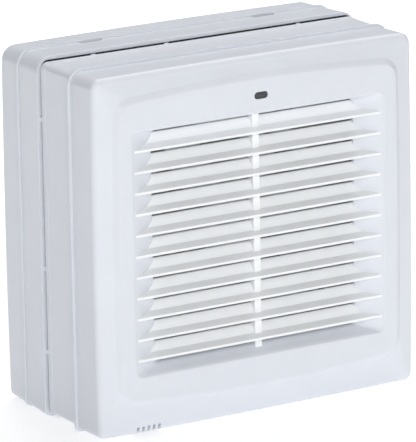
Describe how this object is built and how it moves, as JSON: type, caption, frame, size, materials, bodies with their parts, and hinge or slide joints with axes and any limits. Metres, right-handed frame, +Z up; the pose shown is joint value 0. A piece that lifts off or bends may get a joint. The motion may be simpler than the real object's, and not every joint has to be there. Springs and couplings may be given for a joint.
{
  "type": "bathroom extractor fan",
  "caption": "White box-shaped axial extractor fan with a louvred front cover, a narrow pane gap, an outer unit and gravity back-draught flaps.",
  "frame": {"origin": "middle of the base, half way between the front face and the back", "axes": "+X to the right seen from the room, the front faces -Y, +Z up"},
  "size_m": [0.24, 0.126, 0.237],
  "materials": {
    "white_shell": "satin moulded white",
    "smoked_window": "smoked, polished",
    "lamp_green": "clear tinted",
    "foam_gasket": "closed-cell foam",
    "inner_plastic": "moulded light grey",
    "zinc_screw": "zinc plated",
    "motor_steel": "drawn steel, plated",
    "core_steel": "stacked laminations",
    "copper_winding": "enamelled copper wire",
    "ground_steel": "ground",
    "washer_plastic": "natural nylon",
    "sinter_bronze": "oiled sintered bronze",
    "nut_plastic": "moulded grey",
    "flap_plastic": "thin moulded white",
    "board_green": "solder mask",
    "capacitor_yellow": "moulded box",
    "cream_plastic": "moulded cream",
    "black_rubber": "moulded rubber",
    "grey_sleeve": "extruded sleeve"
  },
  "bodies": {
    "housing": {"indoor_frame": "white_shell", "inner_gasket": "foam_gasket", "outer_gasket": "foam_gasket", "outer_housing": "white_shell", "rear_cover": "white_shell", "wind_tunnel": "inner_plastic", "tunnel_screws": "zinc_screw", "motor_cup": "motor_steel", "motor_end_cap": "motor_steel", "motor_screws": "zinc_screw", "stator_core": "core_steel", "stator_windings": "copper_winding", "front_bearing": "sinter_bronze", "rear_bearing": "sinter_bronze", "shutter_frame": "inner_plastic", "shutter_screws": "zinc_screw", "clamp_studs": "zinc_screw", "clamp_nuts": "inner_plastic", "control_board": "board_green", "run_capacitor": "capacitor_yellow", "terminal_block": "cream_plastic", "terminal_screws": "zinc_screw", "cable_grommet": "black_rubber", "cable_clamp": "cream_plastic", "clamp_bar_screws": "zinc_screw", "motor_lead": "grey_sleeve"},
    "cover": {"front_cover": "white_shell", "indicator_window": "smoked_window", "pilot_lamp": "lamp_green"},
    "rotor": {"rotor_core": "core_steel", "motor_shaft": "ground_steel", "thrust_washers": "washer_plastic", "impeller": "inner_plastic", "impeller_nut": "nut_plastic"},
    "flap_1": {"shutter_flap_1": "flap_plastic"},
    "flap_2": {"shutter_flap_2": "flap_plastic"},
    "flap_3": {"shutter_flap_3": "flap_plastic"},
    "flap_4": {"shutter_flap_4": "flap_plastic"},
    "flap_5": {"shutter_flap_5": "flap_plastic"}
  },
  "joints": [
    {"name": "cover_pull", "type": "slide", "parent": "housing", "child": "cover", "axis": [0, -1, 0], "range_m": [0, 0.06]},
    {"name": "impeller_spin", "type": "hinge", "parent": "housing", "child": "rotor", "pos_m": [0, 0, 0.118], "axis": [0, 1, 0], "continuous": true},
    {"name": "flap_1_swing", "type": "hinge", "parent": "housing", "child": "flap_1", "pos_m": [0, 0.0279, 0.0791], "axis": [1, 0, 0], "range_deg": [0, 75]},
    {"name": "flap_2_swing", "type": "hinge", "parent": "housing", "child": "flap_2", "pos_m": [0, 0.0279, 0.1041], "axis": [1, 0, 0], "range_deg": [0, 75]},
    {"name": "flap_3_swing", "type": "hinge", "parent": "housing", "child": "flap_3", "pos_m": [0, 0.0279, 0.1291], "axis": [1, 0, 0], "range_deg": [0, 75]},
    {"name": "flap_4_swing", "type": "hinge", "parent": "housing", "child": "flap_4", "pos_m": [0, 0.0279, 0.1541], "axis": [1, 0, 0], "range_deg": [0, 75]},
    {"name": "flap_5_swing", "type": "hinge", "parent": "housing", "child": "flap_5", "pos_m": [0, 0.0279, 0.1791], "axis": [1, 0, 0], "range_deg": [0, 75]}
  ]
}
